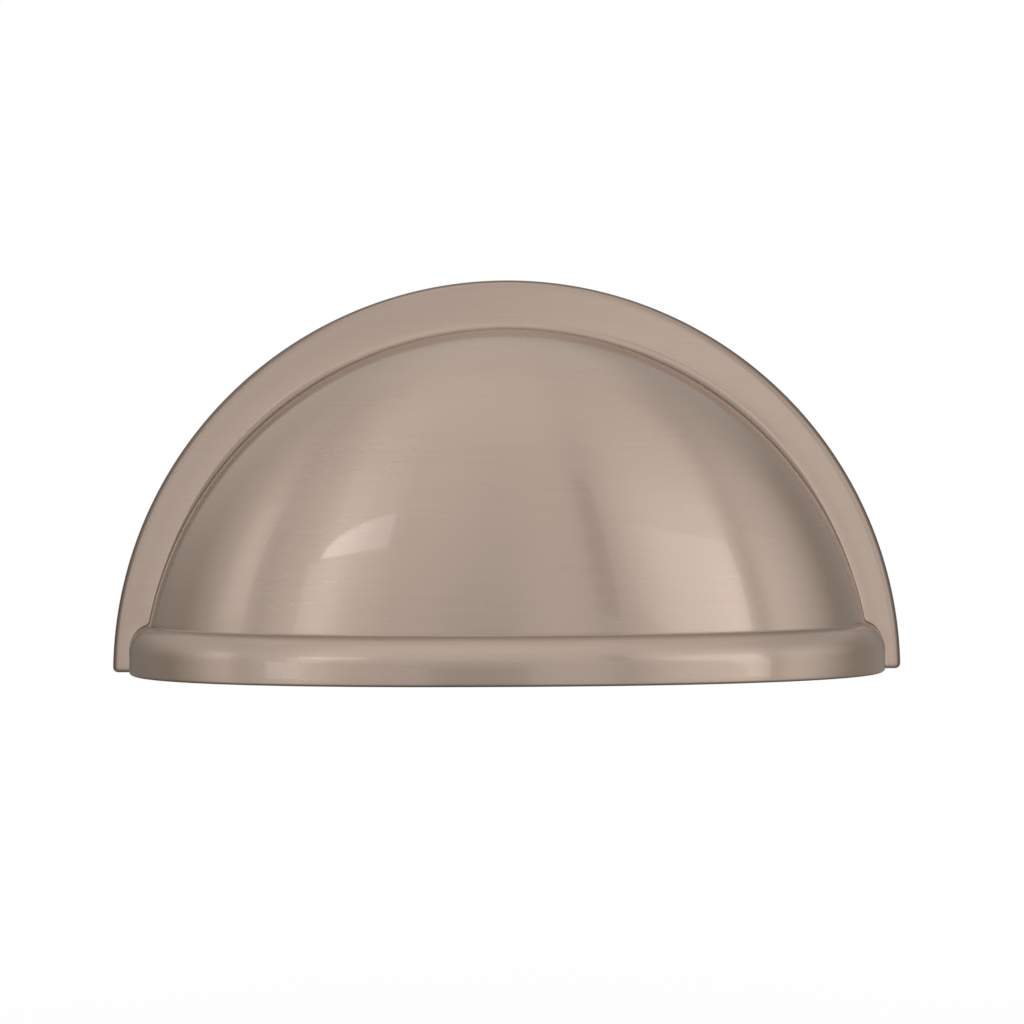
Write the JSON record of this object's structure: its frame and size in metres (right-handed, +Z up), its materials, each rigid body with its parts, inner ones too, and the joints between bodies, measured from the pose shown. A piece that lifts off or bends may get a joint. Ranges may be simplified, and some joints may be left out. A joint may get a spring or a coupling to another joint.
{
  "type": "cup pull",
  "caption": "Half-round cup pull with a flat flange, a thin-walled domed cup and a raised lip round the finger mouth, cast with blind screw bosses inside.",
  "frame": {"origin": "centreline of the pull, halfway through its depth, in the plane of the finger mouth", "axes": "+X to the right, +Y out of the back face into the drawer front, +Z up away from the finger mouth"},
  "size_m": [0.098, 0.022, 0.0484],
  "materials": {
    "satin_nickel": "brushed satin nickel plate under clear lacquer, on a zinc alloy casting"
  },
  "bodies": {
    "root": {"cup_pull": "satin_nickel"}
  },
  "joints": []
}
